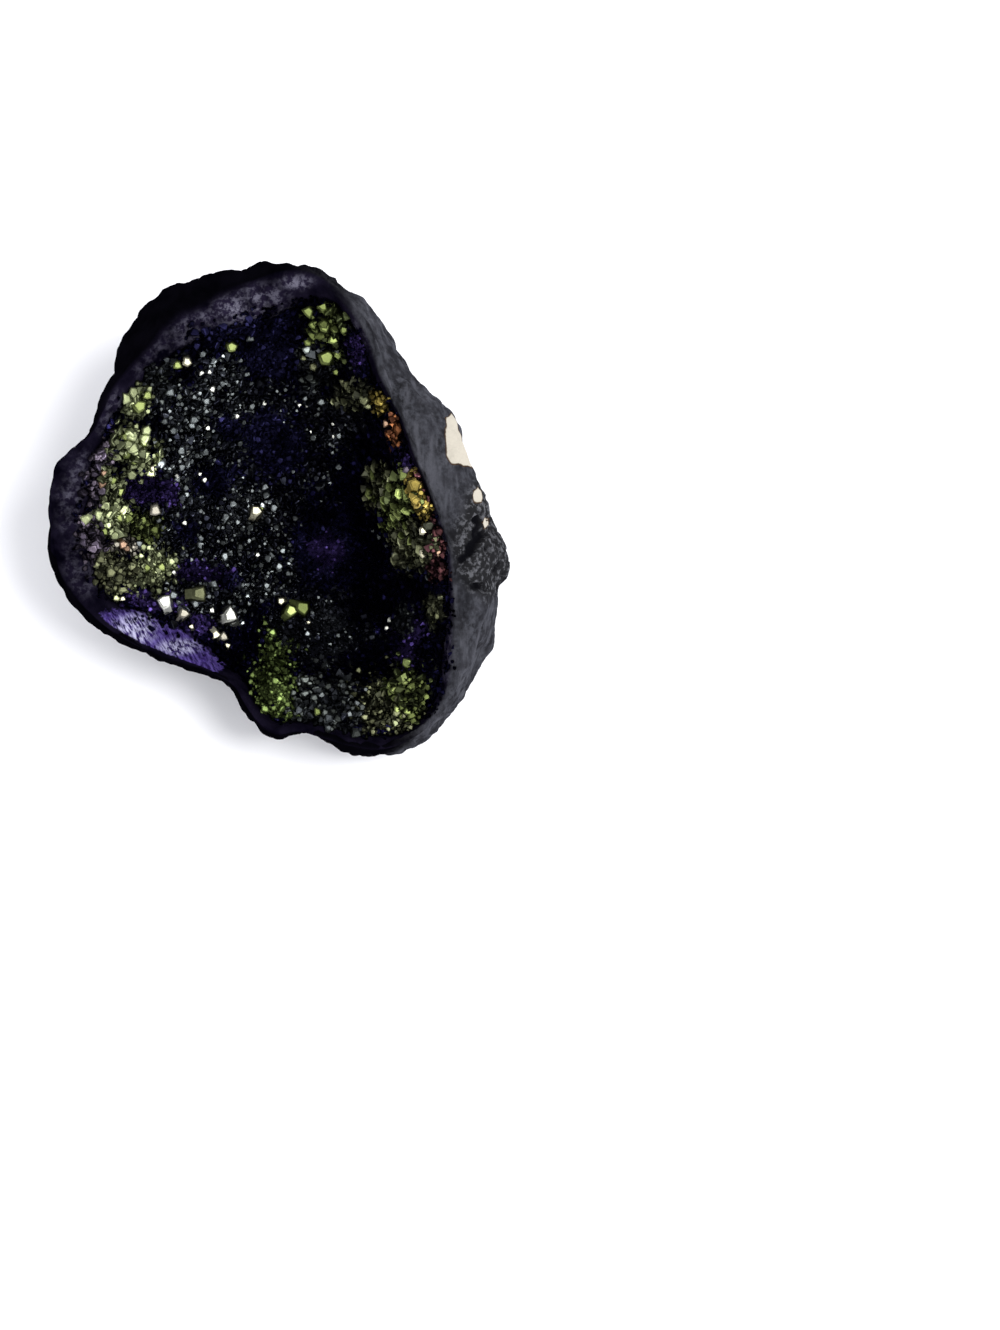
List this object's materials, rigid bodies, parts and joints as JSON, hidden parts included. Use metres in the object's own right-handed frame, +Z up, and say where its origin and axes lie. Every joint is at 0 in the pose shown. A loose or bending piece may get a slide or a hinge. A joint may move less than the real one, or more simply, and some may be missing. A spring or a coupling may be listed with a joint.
{
  "type": "druzy geode",
  "caption": "Half of a dark geode, broken open and lying on its rounded back, its hollow lined with a crust of small quartz crystals.",
  "frame": {"origin": "middle of the flat spot on the underside that it rests on", "axes": "+Z up; +X to the right and +Y away, seen from the side that the open face leans towards; the open face looks up and leans 15 degrees towards -Y"},
  "size_m": [0.0762, 0.08, 0.041],
  "materials": {
    "dark_rind": "rough",
    "coated_druse": "glossy"
  },
  "bodies": {
    "root": {"rind": "dark_rind", "crystal_crust": "coated_druse"}
  },
  "joints": []
}
